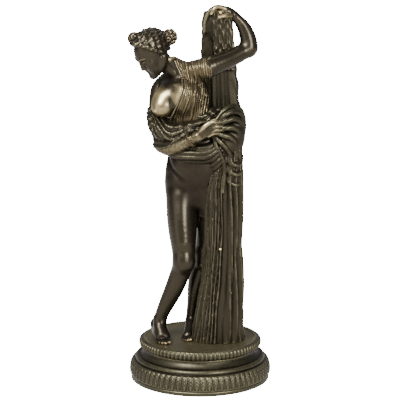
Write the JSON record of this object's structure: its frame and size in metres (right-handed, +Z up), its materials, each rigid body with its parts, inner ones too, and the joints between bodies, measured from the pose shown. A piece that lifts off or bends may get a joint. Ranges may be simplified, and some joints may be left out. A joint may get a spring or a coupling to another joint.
{
  "type": "statuette",
  "caption": "Bronze statuette of a standing draped woman who lifts a cloth up behind her, on a round moulded socle",
  "frame": {"origin": "centre of the socle's underside, on the floor", "axes": "+Z up, -Y toward the side the figure is seen from, +X toward the lifted arm"},
  "size_m": [0.1226, 0.1225, 0.32],
  "materials": {
    "base_bronze": "dark brown patina, worn on the high edges",
    "terrace_bronze": "olive patina, rubbed",
    "figure_bronze": "dark brown patina, rubbed to a pale gold on the high places",
    "drapery_bronze": "dark brown patina, worn on the folds",
    "pin_bronze": "dressed flush and patinated",
    "plug_brass": "worn bright",
    "fixing_iron": "dull, darkened"
  },
  "bodies": {
    "root": {"socle": "base_bronze", "upper_moulding": "base_bronze", "terrace_plate": "terrace_bronze", "body_casting": "figure_bronze", "head_casting": "figure_bronze", "left_arm_casting": "figure_bronze", "right_arm_casting": "figure_bronze", "back_drapery": "drapery_bronze", "front_drapery": "drapery_bronze", "hip_bundle": "drapery_bronze", "neck_pin": "pin_bronze", "left_shoulder_pin": "pin_bronze", "right_shoulder_pin": "pin_bronze", "hand_pin": "pin_bronze", "hip_pin": "pin_bronze", "upper_plug": "plug_brass", "lower_plug": "plug_brass", "back_plug": "plug_brass", "thigh_plug": "plug_brass", "foot_stud": "fixing_iron", "foot_washer": "fixing_iron", "foot_nut": "fixing_iron", "front_stud": "fixing_iron", "front_washer": "fixing_iron", "front_nut": "fixing_iron", "back_stud": "fixing_iron", "back_washer": "fixing_iron", "back_nut": "fixing_iron", "plate_screw_1": "fixing_iron", "plate_screw_2": "fixing_iron", "plate_screw_3": "fixing_iron"}
  },
  "joints": []
}
